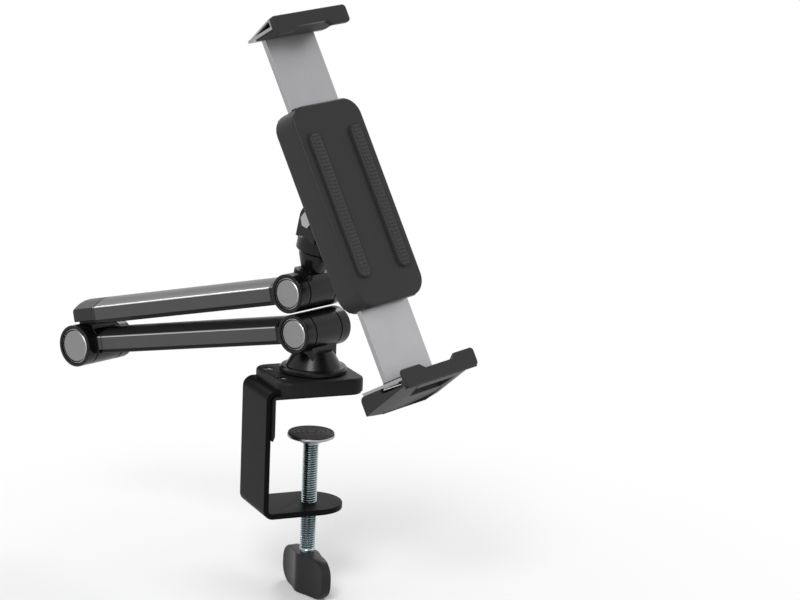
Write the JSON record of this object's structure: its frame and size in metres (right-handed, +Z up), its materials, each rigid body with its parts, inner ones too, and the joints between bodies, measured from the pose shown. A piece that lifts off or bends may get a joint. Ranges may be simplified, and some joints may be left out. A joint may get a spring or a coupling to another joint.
{
  "type": "tablet holder",
  "caption": "Desk-clamp tablet holder with two folding arms, friction hinges and a spring-grip cradle.",
  "frame": {"origin": "where the clamp screw's axis meets the desk top's plane, under the jaw's upper plate", "axes": "+X from the clamp's back in over the desk, +Y along the desk's edge, +Z up"},
  "size_m": [0.1871, 0.2927, 0.3694],
  "materials": {
    "strap_steel": "satin",
    "moulding": "matte",
    "knob": "satin",
    "zinc_screw": "satin",
    "steel": "satin",
    "anodised": "satin",
    "cast_black": "satin",
    "gripper": "matte",
    "disc": "satin",
    "rubber": "matte",
    "washer": "matte"
  },
  "bodies": {
    "clamp": {"clamp_strap": "strap_steel", "edge_liner": "moulding", "base_cover": "moulding", "base_screws": "steel", "swivel_spigot": "steel", "swivel_washer": "washer"},
    "foot": {"pressure_foot": "steel", "foot_pad": "rubber"},
    "screw": {"clamp_screw": "zinc_screw", "wing_knob": "knob"},
    "turret": {"turret": "cast_black", "turret_set_screw": "steel"},
    "lower_arm": {"lower_profile": "anodised", "lower_strip": "moulding", "base_fork": "cast_black", "base_pin": "steel", "base_nut": "steel", "base_washers": "washer", "base_caps": "disc", "elbow_fork": "cast_black", "elbow_pin": "steel", "elbow_nut": "steel", "elbow_washers": "washer", "elbow_caps": "disc"},
    "upper_arm": {"upper_profile": "anodised", "upper_strip": "moulding", "elbow_knuckle": "cast_black", "upper_end_cap": "moulding", "head_fork": "cast_black", "head_pin": "steel", "head_nut": "steel", "head_washers": "washer", "head_caps": "disc"},
    "neck": {"neck": "cast_black"},
    "yoke": {"yoke": "cast_black", "yoke_screw": "steel", "tilt_pin": "steel", "tilt_nut": "steel"},
    "tilt": {"tilt_block": "cast_black", "rotor_bolt": "steel"},
    "cradle": {"cradle_back": "gripper", "cradle_front": "gripper", "cradle_screws": "steel", "cradle_pads": "rubber"},
    "pinion": {"pinion": "moulding"},
    "top_grip": {"top_slide": "disc", "top_gripper": "gripper", "top_pads": "rubber", "top_screws": "steel"},
    "bottom_grip": {"bottom_slide": "disc", "bottom_gripper": "gripper", "bottom_pads": "rubber", "bottom_screws": "steel"}
  },
  "joints": [
    {"name": "screw_turn", "type": "hinge", "parent": "foot", "child": "screw", "pos_m": [0, 0, -0.0345], "axis": [0, 0, 1], "range_deg": [-9122, 4322]},
    {"name": "screw_travel", "type": "slide", "parent": "clamp", "child": "foot", "axis": [0, 0, 1], "range_m": [-0.038, 0.018]},
    {"name": "base_swivel", "type": "hinge", "parent": "clamp", "child": "turret", "pos_m": [0, 0, 0.0119], "axis": [0, 0, 1], "continuous": true},
    {"name": "base_tilt", "type": "hinge", "parent": "turret", "child": "lower_arm", "pos_m": [0, 0, 0.0374], "axis": [0.8813, 0.4726, 0], "range_deg": [-5, 52]},
    {"name": "elbow_fold", "type": "hinge", "parent": "lower_arm", "child": "upper_arm", "pos_m": [-0.08914, 0.16625, -0.00339], "axis": [-0.8813, -0.4726, 0], "range_deg": [0, 175]},
    {"name": "neck_tilt", "type": "hinge", "parent": "upper_arm", "child": "neck", "pos_m": [-0.00283, 0.00528, 0.06184], "axis": [-0.8813, -0.4726, 0], "range_deg": [-25, 52]},
    {"name": "neck_swivel", "type": "hinge", "parent": "neck", "child": "yoke", "pos_m": [-0.00028, 0.00052, 0.08727], "axis": [0.0982, -0.1832, 0.9781], "range_deg": [-140, 140]},
    {"name": "cradle_tilt", "type": "hinge", "parent": "yoke", "child": "tilt", "pos_m": [0.00175, -0.00326, 0.10742], "axis": [-0.9487, -0.3141, 0.0365], "range_deg": [-16, 75]},
    {"name": "cradle_turn", "type": "hinge", "parent": "tilt", "child": "cradle", "pos_m": [0.00588, -0.01498, 0.11385], "axis": [0.295, -0.8377, 0.4596], "continuous": true},
    {"name": "top_slide", "type": "slide", "parent": "cradle", "child": "top_grip", "axis": [-0.2415, 0.4, 0.8841], "range_m": [-0.038, 0.0035]},
    {"name": "bottom_slide", "type": "slide", "parent": "cradle", "child": "bottom_grip", "axis": [0.2415, -0.4, -0.8841], "range_m": [-0.038, 0.0035]},
    {"name": "pinion_turn", "type": "hinge", "parent": "cradle", "child": "pinion", "pos_m": [0.0103, -0.02755, 0.12075], "axis": [0.295, -0.8377, 0.4596], "range_deg": [-24.3, 243.9]}
  ],
  "couplings": [
    {"joint": "screw_turn", "follows": "screw_travel", "rad_per_m": 4188.8},
    {"joint": "bottom_slide", "follows": "top_slide", "ratio": 1},
    {"joint": "pinion_turn", "follows": "top_slide", "rad_per_m": -111.11}
  ]
}
